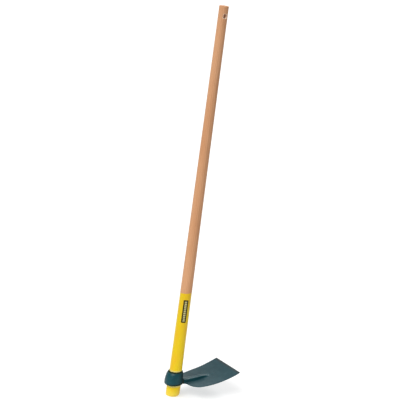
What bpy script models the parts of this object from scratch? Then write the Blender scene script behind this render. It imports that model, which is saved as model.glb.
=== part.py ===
# Eye hoe: a forged head with a ribbed blade, slipped over a wooden handle and held on its swollen foot.
# Metres. +Z runs up the handle from its foot, +X runs out along the blade.
import math

import bmesh
import bpy
from mathutils import Matrix

# Handle: turned wood, thin at the grip end and swollen below the head
handle_length = 1.300
grip_radius = 0.0153
shank_radius = 0.0208
shank_fullness = 1.4
swell_radius = 0.0233
swell_run = 0.006
grip_edge_round = 0.0015
foot_flat_radius = 0.0170
foot_round_height = 0.0095
paint_height = 0.357

# Hanging hole, drilled across the grip end
hole_radius = 0.0074
hole_edge_round = 0.0010
hole_drop = 0.0314
hole_turn = math.radians(5)

# Eye: the round collar of the head, its rims leaning up towards the blade
eye_bottom = 0.043
eye_height = 0.0456
eye_tilt = math.radians(6)
bore_gap = 0.0003
bore_overrun = 0.012
rim_wall = 0.0009
rim_chamfer_height = 0.0100
rim_chamfer_width = 0.0056
rim_chamfer_swell = 0.0006
flare_swell = 0.0004
belly_wall = 0.0080
belly_height = 0.0035
foot_wall = 0.0062
back_offset = 0.0030
back_offset_sweep = math.radians(144)

# Blade: a plate that curves up towards its cutting edge
edge_reach = 0.2125
edge_width = 0.1446
edge_rise = 0.0425
bend_start = 0.027
plate_height = 0.0447
shoulder_reach = 0.0400
shoulder_length = 0.0305
shoulder_half_width = 0.0615
shoulder_sweep = math.radians(77.5)
side_bow = 0.0027
root_thickness = 0.0032
tip_thickness = 0.0024
grind_length = 0.010
grind_thickness = 0.0008
corner_break = 0.002

# Neck and rib: the ridge on the handle's side of the blade, flowing out of the eye
neck_ledge = 0.0014
neck_fillet = 0.008
neck_spread = 0.0059
neck_inset = 0.0018
root_lift = 0.0040
neck_floor_height = 0.004
rib_height = 0.0112
rib_reach = 0.135
rib_root_half_width = 0.0135
rib_tip_half_width = 0.0082
crest_share = 0.74
crest_camber = 0.0022
crest_fullness = 5.0
rib_eye_fillet = 0.0135
rib_wall_sink = 0.003

# Fineness of the meshes
turn_steps = 48
shank_rings = 14
swell_rings = 8
arc_steps = 5
crest_columns = 3
flank_columns = 5
outer_columns = 4
neck_rows = 6
fillet_rows = 4
shoulder_rows = 12
side_rows = 16
merge_distance = 0.00001


def remove_scene_objects():
    for leftover in list(bpy.data.objects):
        bpy.data.objects.remove(leftover)


def make_collection(name):
    collection = bpy.data.collections.new(name)
    bpy.context.scene.collection.children.link(collection)
    return collection


def make_material(name, colour, roughness, metallic):
    material = bpy.data.materials.new(name)
    material.use_nodes = True
    shader = material.node_tree.nodes["Principled BSDF"]
    shader.inputs["Base Color"].default_value = (*colour, 1.0)
    shader.inputs["Roughness"].default_value = roughness
    shader.inputs["Metallic"].default_value = metallic
    material.diffuse_color = (*colour, 1.0)
    return material


def add_object(name, mesh, collection):
    made = bpy.data.objects.new(name, mesh)
    collection.objects.link(made)
    return made


def mark_cutter(cutter):
    cutter.hide_render = True
    cutter.display_type = "WIRE"
    return cutter


def smooth_ramp(share):
    held = min(max(share, 0.0), 1.0)
    return held * held * (3.0 - 2.0 * held)


def blend(first, second, share):
    return first + (second - first) * share


# The turned handle


def eye_top():
    return eye_bottom + eye_height


def swell_top():
    return eye_top() + swell_run


def swell_bottom():
    return eye_bottom - swell_run


def handle_radius(height):
    # Grip to swell: a long taper that gets fuller towards the head
    if height >= swell_top():
        share = (handle_length - height) / (handle_length - swell_top())
        return blend(grip_radius, shank_radius, share ** shank_fullness)
    # Inside the eye the wood widens downwards, which is what wedges the head
    share = (swell_top() - height) / (swell_top() - swell_bottom())
    return blend(shank_radius, swell_radius, smooth_ramp(share))


def handle_heights():
    heights = []
    for step in range(1, shank_rings + 1):
        share = step / shank_rings
        heights.append(blend(handle_length - grip_edge_round, swell_top(), share))
    heights.append(paint_height)
    for step in range(1, swell_rings + 1):
        share = step / swell_rings
        heights.append(blend(swell_top(), swell_bottom(), share))
    return sorted(heights, reverse=True)


def handle_profile():
    points = [(0.0, handle_length)]
    # Softened arris of the sawn grip end
    for step in range(arc_steps + 1):
        angle = 0.5 * math.pi * step / arc_steps
        inset = grip_edge_round * (1.0 - math.sin(angle))
        drop = grip_edge_round * (1.0 - math.cos(angle))
        points.append((grip_radius - inset, handle_length - drop))
    for height in handle_heights():
        points.append((handle_radius(height), height))
    # Rounded foot, down to a small flat
    for step in range(arc_steps + 1):
        angle = 0.5 * math.pi * step / arc_steps
        radius = foot_flat_radius + (swell_radius - foot_flat_radius) * math.cos(angle)
        points.append((radius, foot_round_height * (1.0 - math.sin(angle))))
    points.append((0.0, 0.0))
    return points


def turned_object(name, profile, collection):
    # The profile runs down the outer side at +X, from the top of the axis to its bottom
    mesh = bpy.data.meshes.new(name)
    corners = [(radius, 0.0, height) for radius, height in profile]
    edges = [(index, index + 1) for index in range(len(corners) - 1)]
    mesh.from_pydata(corners, edges, [])
    turned = add_object(name, mesh, collection)
    screw = turned.modifiers.new("turned", "SCREW")
    screw.axis = "Z"
    screw.angle = 2.0 * math.pi
    screw.steps = turn_steps
    screw.render_steps = turn_steps
    screw.use_merge_vertices = True
    screw.merge_threshold = merge_distance
    screw.use_smooth_shade = True
    return turned


def made_mesh(source):
    # Swaps an object with modifiers for a plain mesh of the same name
    depsgraph = bpy.context.evaluated_depsgraph_get()
    mesh = bpy.data.meshes.new_from_object(source.evaluated_get(depsgraph))
    name = source.name
    collection = source.users_collection[0]
    matrix = source.matrix_world.copy()
    bpy.data.objects.remove(source)
    plain = add_object(name, mesh, collection)
    plain.matrix_world = matrix
    return plain


def hole_cutter(collection):
    # A drill shaft with a countersink where it meets each side of the wood
    wood_radius = handle_radius(handle_length - hole_drop)
    mouth = wood_radius - hole_edge_round
    far = wood_radius + hole_radius
    wide = hole_radius + hole_edge_round + (far - wood_radius)
    profile = [
        (0.0, far),
        (wide, far),
        (hole_radius, mouth),
        (hole_radius, -mouth),
        (wide, -far),
        (0.0, -far),
    ]
    cutter = mark_cutter(turned_object("hanging_hole_cutter", profile, collection))
    cutter.modifiers["turned"].steps = turn_steps // 2
    cutter.modifiers["turned"].render_steps = turn_steps // 2
    cutter.rotation_euler = (0.5 * math.pi, 0.0, -hole_turn)
    cutter.location = (0.0, 0.0, handle_length - hole_drop)
    return cutter


def cut_away(body, cutter, name):
    boolean = body.modifiers.new(name, "BOOLEAN")
    boolean.operation = "DIFFERENCE"
    boolean.solver = "EXACT"
    boolean.object = cutter


def join_with(body, other, name):
    boolean = body.modifiers.new(name, "BOOLEAN")
    boolean.operation = "UNION"
    boolean.solver = "EXACT"
    boolean.object = other


def build_handle(parts, cutters):
    handle = made_mesh(turned_object("wooden_handle", handle_profile(), parts))
    wood = make_material("beech", (0.66, 0.36, 0.19), 0.62, 0.0)
    paint = make_material("yellow_dip", (0.84, 0.61, 0.04), 0.35, 0.0)
    handle.data.materials.clear()
    handle.data.materials.append(wood)
    handle.data.materials.append(paint)
    for face in handle.data.polygons:
        face.material_index = 1 if face.center.z < paint_height else 0
    cut_away(handle, hole_cutter(cutters), "hanging_hole")
    handle.data.set_sharp_from_angle(angle=math.radians(40))
    return handle


# The eye of the head


def bore_radius(height):
    return handle_radius(height) + bore_gap


def belly_radius():
    return bore_radius(eye_bottom + belly_height) + belly_wall


def rim_radius():
    return bore_radius(eye_top()) + rim_wall


def eye_profile():
    rim = rim_radius()
    shoulder = rim + rim_chamfer_width
    shoulder_height = eye_top() - rim_chamfer_height
    belly = belly_radius()
    waist_height = eye_bottom + belly_height
    foot = bore_radius(eye_bottom) + foot_wall
    points = [(0.0, eye_top()), (rim, eye_top())]
    # A chamfer with a slight swell leads from the upper rim to the flared side
    for step in range(1, arc_steps + 1):
        share = step / arc_steps
        bulge = rim_chamfer_swell * math.sin(math.pi * share)
        radius = blend(rim, shoulder, share) + bulge
        points.append((radius, blend(eye_top(), shoulder_height, share)))
    for step in range(1, arc_steps + 1):
        share = step / arc_steps
        bulge = flare_swell * math.sin(math.pi * share)
        radius = blend(shoulder, belly, share) + bulge
        points.append((radius, blend(shoulder_height, waist_height, share)))
    # Rounded lower arris
    for step in range(1, arc_steps + 1):
        angle = 0.5 * math.pi * step / arc_steps
        radius = foot + (belly - foot) * math.cos(angle)
        points.append((radius, waist_height - belly_height * math.sin(angle)))
    points.append((0.0, eye_bottom))
    return points


def eye_solid(cutters):
    eye = made_mesh(turned_object("eye_solid", eye_profile(), cutters))
    # The wall is thicker at the back: below the rim the outside slides back from the bore's axis
    for corner in eye.data.vertices:
        depth = (eye_top() - corner.co.z) / eye_height
        corner.co.x -= back_offset * math.sin(back_offset_sweep * depth)
    # Both rims lean up towards the blade; the collar stays round about the handle
    lean = Matrix.Identity(4)
    lean[2][0] = math.tan(eye_tilt)
    eye.data.transform(lean)
    return mark_cutter(eye)


def bore_cutter(cutters):
    top = eye_top() + bore_overrun
    bottom = eye_bottom - bore_overrun
    points = [(0.0, top)]
    rings = 2 * swell_rings
    for step in range(rings + 1):
        height = blend(top, bottom, step / rings)
        points.append((bore_radius(height), height))
    points.append((0.0, bottom))
    return mark_cutter(turned_object("bore_cutter", points, cutters))


# The blade, neck and rib: one sheet of rows from the neck's root to the cutting edge, grown to its thickness


def root_reach():
    # Just inside the bore, so that the bore's cut trims the neck flush
    return bore_radius(eye_bottom) - neck_inset


def rib_columns():
    # Shares of the rib's half width: across the crest, then down the flank
    shares = []
    for column in range(crest_columns + 1):
        shares.append(crest_share * column / crest_columns)
    for column in range(1, flank_columns + 1):
        shares.append(blend(crest_share, 1.0, column / flank_columns))
    return shares


def neck_end():
    # Where the neck's straight side starts to curve out towards the shoulder
    return shoulder_reach - neck_fillet


def neck_fade(reach):
    # One at the root of the neck, nothing from its end on
    return 1.0 - smooth_ramp((reach - root_reach()) / (neck_end() - root_reach()))


def neck_half_width(reach):
    # The neck spreads where it flows into the eye
    return rib_root_half_width + neck_ledge + neck_spread * neck_fade(reach)


def side_start():
    return shoulder_reach + shoulder_length


def ground_reach():
    return edge_reach - grind_length


def side_half_width(reach):
    share = (reach - side_start()) / (edge_reach - side_start())
    straight = blend(shoulder_half_width, 0.5 * edge_width, share)
    return straight + side_bow * math.sin(math.pi * share)


def outline_stations():
    # How far out each row of the sheet lies, and how wide the plate is there on each side of its middle
    stations = []
    for step in range(neck_rows):
        reach = blend(root_reach(), neck_end(), step / neck_rows)
        stations.append((reach, neck_half_width(reach)))
    for step in range(fillet_rows):
        angle = 0.5 * math.pi * step / fillet_rows
        reach = neck_end() + neck_fillet * math.sin(angle)
        stations.append((reach, neck_half_width(reach) + neck_fillet * (1.0 - math.cos(angle))))
    # The shoulder's arc stops short of a quarter turn, where it runs on into the plate's side
    inner = neck_half_width(shoulder_reach) + neck_fillet
    arc_length = shoulder_length / (1.0 - math.cos(shoulder_sweep))
    arc_width = (shoulder_half_width - inner) / math.sin(shoulder_sweep)
    for step in range(shoulder_rows):
        angle = shoulder_sweep * step / shoulder_rows
        reach = shoulder_reach + arc_length * (1.0 - math.cos(angle))
        stations.append((reach, inner + arc_width * math.sin(angle)))
    for step in range(side_rows + 1):
        reach = blend(side_start(), ground_reach(), step / side_rows)
        stations.append((reach, side_half_width(reach)))
    # The corner of the cutting edge is just broken
    corner_reach = edge_reach - corner_break
    stations.append((corner_reach, side_half_width(corner_reach)))
    stations.append((edge_reach, 0.5 * edge_width - corner_break))
    return stations


def plate_surface(reach):
    # Height of the plate's upper face over its curve along the blade; its root lifts into the eye's lower rim
    run = max(0.0, reach - bend_start)
    curve = edge_rise * (run / (edge_reach - bend_start)) ** 2
    return plate_height + curve + root_lift * neck_fade(reach)


def plate_thickness(reach):
    if reach > ground_reach():
        return blend(tip_thickness, grind_thickness, (reach - ground_reach()) / grind_length)
    share = (ground_reach() - reach) / (ground_reach() - shoulder_reach)
    return blend(tip_thickness, root_thickness, min(share, 1.0))


def rib_run(reach):
    # Nothing at the shoulders, one at the rib's tip
    run = (reach - shoulder_reach) / (rib_reach - shoulder_reach)
    return min(max(run, 0.0), 1.0)


def rib_half_width(reach):
    return blend(rib_root_half_width, rib_tip_half_width, rib_run(reach))


def rib_rise(reach, across):
    crest = rib_height * (1.0 - rib_run(reach) ** crest_fullness)
    # The crest sweeps up into the round, flared wall of the eye
    gap = math.hypot(reach + back_offset, across) - (belly_radius() - rib_wall_sink)
    if gap < rib_eye_fillet:
        held = min(rib_eye_fillet - gap, rib_eye_fillet)
        crest += rib_eye_fillet - math.sqrt(rib_eye_fillet ** 2 - held ** 2)
    # Slightly domed ridge with steep flanks, both narrowing towards its tip
    share = abs(across) / rib_half_width(reach)
    crest -= min(crest_camber, 0.5 * crest) * min(1.0, share / crest_share) ** 2
    flank = (share - crest_share) / (1.0 - crest_share)
    floor = neck_floor_height * neck_fade(reach)
    return blend(crest, floor, smooth_ramp(flank))


def blade_plan():
    plan = []
    for reach, half_width in outline_stations():
        foot = rib_half_width(reach)
        row = [(reach, foot * share) for share in rib_columns()]
        for column in range(1, outer_columns + 1):
            row.append((reach, blend(foot, half_width, column / outer_columns)))
        mirrored = [(reach, -across) for reach, across in reversed(row[1:])]
        plan.append(mirrored + row)
    return plan


def blade_mesh():
    plan = blade_plan()
    rows = len(plan)
    columns = len(plan[0])
    sheet = bmesh.new()
    bmesh.ops.create_grid(sheet, x_segments=columns - 1, y_segments=rows - 1, size=1.0)
    corners = sorted(sheet.verts, key=lambda corner: (round(corner.co.y, 6), round(corner.co.x, 6)))
    places = [place for row in plan for place in row]
    for corner, (reach, across) in zip(corners, places):
        corner.co = (reach, across, plate_surface(reach) - plate_thickness(reach))
    # The upper skin is the lower one lifted by the plate's thickness and the rib
    lifted = bmesh.ops.extrude_face_region(sheet, geom=list(sheet.faces), use_keep_orig=True)
    for part in lifted["geom"]:
        if isinstance(part, bmesh.types.BMVert):
            reach = part.co.x
            part.co.z += plate_thickness(reach) + rib_rise(reach, part.co.y)
    bmesh.ops.recalc_face_normals(sheet, faces=list(sheet.faces))
    mesh = bpy.data.meshes.new("forged_head")
    sheet.to_mesh(mesh)
    sheet.free()
    for face in mesh.polygons:
        face.use_smooth = True
    return mesh


def build_head(parts, cutters):
    head = add_object("forged_head", blade_mesh(), parts)
    steel = make_material("lacquered_steel", (0.055, 0.105, 0.12), 0.45, 0.2)
    head.data.materials.append(steel)
    join_with(head, eye_solid(cutters), "eye")
    cut_away(head, bore_cutter(cutters), "bore")
    head.data.set_sharp_from_angle(angle=math.radians(40))
    return head


remove_scene_objects()
hoe_parts = make_collection("eye_hoe")
hoe_cutters = make_collection("cutters")
build_handle(hoe_parts, hoe_cutters)
build_head(hoe_parts, hoe_cutters)
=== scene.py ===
import math

import bmesh
import bpy
from mathutils import Euler, Matrix, Vector, noise


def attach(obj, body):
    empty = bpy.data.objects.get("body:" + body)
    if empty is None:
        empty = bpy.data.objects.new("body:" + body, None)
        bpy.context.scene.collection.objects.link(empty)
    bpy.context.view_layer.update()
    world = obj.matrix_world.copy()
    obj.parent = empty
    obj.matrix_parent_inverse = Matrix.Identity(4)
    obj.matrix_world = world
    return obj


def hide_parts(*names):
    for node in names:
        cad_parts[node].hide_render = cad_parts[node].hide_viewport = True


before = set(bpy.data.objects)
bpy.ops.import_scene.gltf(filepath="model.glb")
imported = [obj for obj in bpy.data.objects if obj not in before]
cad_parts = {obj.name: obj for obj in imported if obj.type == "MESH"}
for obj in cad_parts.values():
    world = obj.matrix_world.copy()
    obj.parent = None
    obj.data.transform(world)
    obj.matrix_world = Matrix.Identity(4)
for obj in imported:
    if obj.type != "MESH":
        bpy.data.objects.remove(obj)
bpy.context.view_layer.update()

# Sizes that more than one piece follows, in metres. They are the CAD source's, except for the coat's
# upper line and the foot, which was rounded by hand
handle = {
    "length": 1.300,
    "gripRadius": 0.0153,
    "shankRadius": 0.0208,
    "fullness": 1.4,
    "swellRadius": 0.0233,
    "swellTop": 0.0946,
    "swellBottom": 0.037,
    "footFlat": 0.0170,
    "footRound": 0.0095,
    "squareFlat": 0.0212,
    "squareRound": 0.0035,
    "softFlat": 0.0140,
    "softRound": 0.0125,
    "softSide": (0.837, -0.547),
    "softReach": 0.036,
    "axisReach": 0.001,
    "endRound": 0.0015,
    "coatTop": 0.3600,
    "coatLap": 0.002,
    "coatThickness": 0.00015,
    "coatClear": 1.3,
}
eyeLean = math.tan(math.radians(6))  # both rims of the eye rise towards the blade


def blend(first, second, share):
    return first + (second - first) * share


def held(share):
    return min(max(share, 0.0), 1.0)


def smoothRamp(share):
    return held(share) ** 2 * (3.0 - 2.0 * held(share))


def rise(value, start, run):
    # Climbs smoothly from 0 at the start to 1 one run further on
    return smoothRamp((value - start) / run)


def handleRadius(height):
    share = min(1.0, (handle["length"] - height) / (handle["length"] - handle["swellTop"]))
    taper = blend(handle["gripRadius"], handle["shankRadius"], share ** handle["fullness"])
    swell = smoothRamp((handle["swellTop"] - height) / (handle["swellTop"] - handle["swellBottom"]))
    return taper + (handle["swellRadius"] - handle["shankRadius"]) * swell


# Small tools for node trees; a value is a number, a tuple or a socket


def feed(tree, node, values):
    for name, value in values.items():
        if isinstance(value, bpy.types.NodeSocket):
            tree.links.new(value, node.inputs[name])
        else:
            node.inputs[name].default_value = value


def addNode(tree, kind, inputs=None, **settings):
    node = tree.nodes.new(kind)
    for name, value in settings.items():
        setattr(node, name, value)
    feed(tree, node, inputs or {})
    return node


def outOf(tree, kind, inputs=None, **settings):
    return addNode(tree, kind, inputs, **settings).outputs[0]


def compute(tree, operation, *values):
    return outOf(tree, "ShaderNodeMath", dict(enumerate(values)), operation=operation)


def chain(tree, operation, values):
    total = values[0]
    for value in values[1:]:
        total = compute(tree, operation, total, value)
    return total


def times(tree, *values):
    return chain(tree, "MULTIPLY", values)


def plus(tree, *values):
    return chain(tree, "ADD", values)


def minus(tree, *values):
    return chain(tree, "SUBTRACT", values)


def inverse(tree, value):
    return compute(tree, "DIVIDE", 1.0, value)


def ramp(tree, value, low, high, start=0.0, end=1.0, kind="SMOOTHSTEP"):
    limits = dict(enumerate((value, low, high, start, end)))
    return outOf(tree, "ShaderNodeMapRange", limits, interpolation_type=kind)


def straight(tree, value, low, high, start=0.0, end=1.0):
    return ramp(tree, value, low, high, start, end, "LINEAR")


def vectorMath(tree, operation, *values, output="Vector"):
    node = addNode(tree, "ShaderNodeVectorMath", dict(enumerate(values)), operation=operation)
    return node.outputs[output]


def partOf(tree, vector, axis):
    return addNode(tree, "ShaderNodeSeparateXYZ", {"Vector": vector}).outputs[axis]


def joined(tree, **parts):
    return outOf(tree, "ShaderNodeCombineXYZ", parts)


def painted(tree, name):
    # One of the mesh's own point attributes
    return addNode(tree, "ShaderNodeAttribute", attribute_name=name).outputs["Fac"]


def mixColour(tree, share, first, second):
    return addNode(tree, "ShaderNodeMix", {0: share, 6: first, 7: second}, data_type="RGBA").outputs[2]


def tinted(tree, base, mask, tint):
    # tint: (colour, how much of it there is where the mask is one)
    return mixColour(tree, times(tree, mask, tint[1]), base, tint[0])


def noiseField(tree, vector, scale=1.0, detail=3.0, roughness=0.5):
    return outOf(tree, "ShaderNodeTexNoise", {
        "Vector": vector, "Scale": scale, "Detail": detail, "Roughness": roughness})


def stretched(tree, vector, scale, location=(0.0, 0.0, 0.0)):
    return outOf(tree, "ShaderNodeMapping", {"Vector": vector, "Scale": scale, "Location": location})


def weighted(tree, start, *pairs):
    # The start plus each value times its weight
    return plus(tree, start, *(times(tree, value, weight) for value, weight in pairs))


socketWords = {float: "Float", int: "Int", bool: "Bool", tuple: "Vector"}


def newTree(name, kind, inputs, outputs):
    # An input is given by its default or, where it has none, by its type's word; an output by that word
    tree = bpy.data.node_groups.new(name, kind)
    for title, given in inputs.items():
        word = socketWords.get(type(given), given)
        socket = tree.interface.new_socket(name=title, in_out="INPUT", socket_type="NodeSocket" + word)
        if word != given:
            socket.default_value = given
    for title, word in outputs.items():
        tree.interface.new_socket(name=title, in_out="OUTPUT", socket_type="NodeSocket" + word)
    return tree, addNode(tree, "NodeGroupInput").outputs, addNode(tree, "NodeGroupOutput")


# Shader groups that more than one finish uses

beech = {
    "pithPlace": (0.031, -0.017, 0.0),
    "pithLean": (0.012, -0.016, 0.0),
    "swayScale": (14.0, 14.0, 2.2),
    "sway": 0.014,
    "lateWood": (0.25, 0.93),
    "ringEnd": (1.0, 0.94),
    "fibreScale": (1500.0, 1500.0, 26.0),
    "fleckStretch": (1.0, 1.0, 0.22),
    "fleckSpan": (0.24, 0.10),
    "patchScale": (90.0, 90.0, 30.0),
    "patchSpan": (0.45, 0.62),
    "broadScale": (22.0, 22.0, 3.4),
    "broadShift": (3.1, 0.4, 0.7),
    "fibreHeight": 0.55,
    "fleckHeight": -0.8,
    "ringHeight": 0.5,
}


def makeGrainGroup():
    # Beech: growth rings round a pith that runs beside the axis, long fibres and short ray flecks
    names = ("Rings", "Fibres", "Flecks", "Broad", "Height")
    tree, given, result = newTree("beechGrain", "ShaderNodeTree", {
        "Vector": "Vector", "Ring Width": 0.0032, "Fleck Size": 0.0011}, dict.fromkeys(names, "Float"))
    vector = given["Vector"]
    leaning = outOf(tree, "ShaderNodeMapping", {
        "Vector": vector, "Location": beech["pithPlace"], "Rotation": beech["pithLean"]})
    sway = noiseField(tree, stretched(tree, vector, beech["swayScale"]), detail=2.0)
    squares = [compute(tree, "POWER", partOf(tree, leaning, axis), 2.0) for axis in "XY"]
    swayed = plus(tree, compute(tree, "SQRT", plus(tree, *squares)), times(tree, sway, beech["sway"]))
    saw = compute(tree, "FRACT", compute(tree, "DIVIDE", swayed, given["Ring Width"]))
    rings = times(tree, ramp(tree, saw, *beech["lateWood"]), ramp(tree, saw, *beech["ringEnd"]))
    fibres = noiseField(tree, stretched(tree, vector, beech["fibreScale"]), roughness=0.6)
    cells = outOf(tree, "ShaderNodeTexVoronoi", {
        "Vector": stretched(tree, vector, beech["fleckStretch"]),
        "Scale": inverse(tree, given["Fleck Size"]), "Randomness": 1.0})
    patchy = noiseField(tree, stretched(tree, vector, beech["patchScale"]), detail=2.0)
    flecks = times(tree, ramp(tree, cells, *beech["fleckSpan"]), ramp(tree, patchy, *beech["patchSpan"]))
    shifted = stretched(tree, vector, beech["broadScale"], beech["broadShift"])
    broad = noiseField(tree, shifted, roughness=0.55)
    height = weighted(tree, times(tree, fibres, beech["fibreHeight"]),
                      (flecks, beech["fleckHeight"]), (rings, beech["ringHeight"]))
    feed(tree, result, dict(zip(names, (rings, fibres, flecks, broad, height))))
    return tree


coatSkin = {"peelHeight": 0.4, "speckSpan": (0.075, 0.04), "speckHeight": 0.15}


def makeSkinGroup():
    # A sprayed or dipped coat: orange peel, slow waves and a few pinholes of dust
    tree, given, result = newTree("coatSkin", "ShaderNodeTree", {
        "Vector": "Vector", "Peel Size": 0.0016, "Wave Size": 0.03, "Speck Size": 0.006,
    }, {"Height": "Float", "Waves": "Float"})
    vector = given["Vector"]
    peel = noiseField(tree, vector, inverse(tree, given["Peel Size"]), detail=2.0)
    waves = noiseField(tree, vector, inverse(tree, given["Wave Size"]), detail=4.0, roughness=0.55)
    dots = outOf(tree, "ShaderNodeTexVoronoi", {
        "Vector": vector, "Scale": inverse(tree, given["Speck Size"])})
    specks = ramp(tree, dots, *coatSkin["speckSpan"])
    height = weighted(tree, waves, (peel, coatSkin["peelHeight"]), (specks, coatSkin["speckHeight"]))
    feed(tree, result, {"Height": height, "Waves": waves})
    return tree


scuffing = {"grit": 1.4, "softness": 0.18}


def makeWearGroup():
    # Turns a painted edge mask into broken, scuffed wear
    tree, given, result = newTree("edgeScuff", "ShaderNodeTree", {
        "Vector": "Vector", "Mask": 0.0, "Reach": 0.5, "Grit Size": 0.004}, {"Scuff": "Float"})
    grit = noiseField(tree, given["Vector"], inverse(tree, given["Grit Size"]), detail=4.0, roughness=0.65)
    broken = plus(tree, given["Mask"], times(tree, minus(tree, grit, 0.5), scuffing["grit"]))
    scuff = ramp(tree, broken, given["Reach"], plus(tree, given["Reach"], scuffing["softness"]))
    feed(tree, result, {"Scuff": scuff})
    return tree


grainGroup = makeGrainGroup()
skinGroup = makeSkinGroup()
wearGroup = makeWearGroup()


def useGroup(tree, group, inputs):
    return addNode(tree, "ShaderNodeGroup", inputs, node_tree=group).outputs


def useGrain(tree, vector):
    return useGroup(tree, grainGroup, {
        "Vector": vector, "Ring Width": woodFinish["ringWidth"], "Fleck Size": woodFinish["fleckSize"]})


def useSkin(tree, vector, finish):
    return useGroup(tree, skinGroup, {
        "Vector": vector, "Peel Size": finish["peelSize"], "Wave Size": finish["waveSize"],
        "Speck Size": finish["speckSize"]})


def newMaterial(name, ior, specular):
    material = bpy.data.materials.new(name)
    material.use_nodes = True
    tree = material.node_tree
    feed(tree, tree.nodes["Principled BSDF"], {"IOR": ior, "Specular IOR Level": specular})
    return material, tree, addNode(tree, "ShaderNodeTexCoord").outputs["Object"]


def finishMaterial(material, height, depth, inputs):
    tree = material.node_tree
    bump = outOf(tree, "ShaderNodeBump", {"Strength": 1.0, "Distance": depth, "Height": height})
    feed(tree, tree.nodes["Principled BSDF"], {**inputs, "Normal": bump})
    return material


woodFinish = {
    "pale": (0.74, 0.40, 0.215, 1.0),
    "warm": (0.66, 0.325, 0.16, 1.0),
    "ringLine": ((0.52, 0.245, 0.11, 1.0), 0.42),
    "fibreLine": ((0.52, 0.245, 0.11, 1.0), 0.22),
    "fleck": ((0.36, 0.17, 0.08, 1.0), 0.5),
    # Painted light on the hole's wall near its mouths, and painted shade further in
    "holeLight": ((0.98, 0.80, 0.62, 1.0), 0.9),
    "holeShade": ((0.42, 0.12, 0.012, 1.0), 0.9),
    "broadSpan": (0.36, 0.66),
    "fibreSpan": (0.42, 0.75),
    "roughSpan": (0.3, 0.8, 0.5, 0.68),
    "ringWidth": 0.0036,
    "fleckSize": 0.0013,
    "grainDepth": 0.00012,
}


def makeWood():
    # The wall of the hanging hole has painted light near its mouths and painted shade further in
    material, tree, vector = newMaterial("sandedBeech", ior=1.45, specular=0.25)
    grain = useGrain(tree, vector)
    broad = ramp(tree, grain["Broad"], *woodFinish["broadSpan"])
    colour = mixColour(tree, broad, woodFinish["pale"], woodFinish["warm"])
    fibres = ramp(tree, grain["Fibres"], *woodFinish["fibreSpan"])
    # The hole's wall is painted paler near its mouths as painted light, and darker further in as painted
    # shade
    for mask, name in ((grain["Rings"], "ringLine"), (fibres, "fibreLine"), (grain["Flecks"], "fleck"),
                       (painted(tree, "fresh"), "holeLight"), (painted(tree, "deepShade"), "holeShade")):
        colour = tinted(tree, colour, mask, woodFinish[name])
    return finishMaterial(material, grain["Height"], woodFinish["grainDepth"], {
        "Base Color": colour, "Roughness": ramp(tree, grain["Fibres"], *woodFinish["roughSpan"])})


coatFinish = {
    "yellow": (0.79, 0.575, 0.008, 1.0),
    "thin": (0.81, 0.50, 0.018, 1.0),
    "ringShow": ((0.81, 0.50, 0.018, 1.0), 0.10),
    "upperFilm": ((0.81, 0.50, 0.018, 1.0), 0.45),
    "footFilm": ((0.82, 0.68, 0.16, 1.0), 0.35),
    # A pale band by the eye's rims; under the lower rim it is painted light against the eye's shadow
    "paleAndLit": ((0.72, 0.65, 0.23, 1.0), 0.75),
    "waveSpan": (0.38, 0.70),
    "filmRun": 0.010,
    "footSpan": (0.030, 0.004),
    "roughSpan": (0.3, 0.7, 0.24, 0.36),
    "rubbedRough": 0.25,
    "ringHeight": 0.15,
    "skinStretch": (1.0, 1.0, 0.35),
    "peelSize": 0.0018,
    "waveSize": 0.024,
    "speckSize": 0.009,
    "skinDepth": 0.00022,
    "rimHeight": 0.0886,
    "footHeight": 0.043,
    "upperBandWidth": 0.0042,
    "footLitWidth": 0.0075,
    "bandSoft": 0.001,
    "gritScale": 260.0,
    "gritReach": 0.006,
}


def makeCoat():
    material, tree, vector = newMaterial("yellowDip", ior=1.45, specular=0.2)
    skin = useSkin(tree, stretched(tree, vector, coatFinish["skinStretch"]), coatFinish)
    rings = useGrain(tree, vector)["Rings"]
    waves = ramp(tree, skin["Waves"], *coatFinish["waveSpan"])
    colour = mixColour(tree, waves, coatFinish["yellow"], coatFinish["thin"])
    # The coat thins to a warmer film at its upper line, and is paler towards the bottom of the rounded foot
    height = partOf(tree, vector, "Z")
    upper = ramp(tree, height, handle["coatTop"] - coatFinish["filmRun"], handle["coatTop"])
    # Above the upper rim and under the lower one the coat is painted paler in a ragged band; under the
    # lower rim this is painted light that lifts the shade the eye casts there
    levelled = minus(tree, height, times(tree, partOf(tree, vector, "X"), eyeLean))
    grit = minus(tree, noiseField(tree, vector, coatFinish["gritScale"]), 0.5)
    ragged = plus(tree, levelled, times(tree, grit, coatFinish["gritReach"]))
    soft = coatFinish["bandSoft"]
    above = minus(tree, ragged, coatFinish["rimHeight"])
    below = minus(tree, coatFinish["footHeight"], ragged)
    paleAndLit = times(tree, *(ramp(tree, away, coatFinish[width] + soft, coatFinish[width] - soft)
                           for away, width in ((above, "upperBandWidth"), (below, "footLitWidth"))))
    for mask, name in ((rings, "ringShow"), (upper, "upperFilm"),
                       (ramp(tree, height, *coatFinish["footSpan"]), "footFilm"), (paleAndLit, "paleAndLit")):
        colour = tinted(tree, colour, mask, coatFinish[name])
    rough = ramp(tree, skin["Waves"], *coatFinish["roughSpan"])
    relief = weighted(tree, skin["Height"], (rings, coatFinish["ringHeight"]))
    return finishMaterial(material, relief, coatFinish["skinDepth"], {
        "Base Color": colour, "Roughness": weighted(tree, rough, (paleAndLit, coatFinish["rubbedRough"]))})


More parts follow.
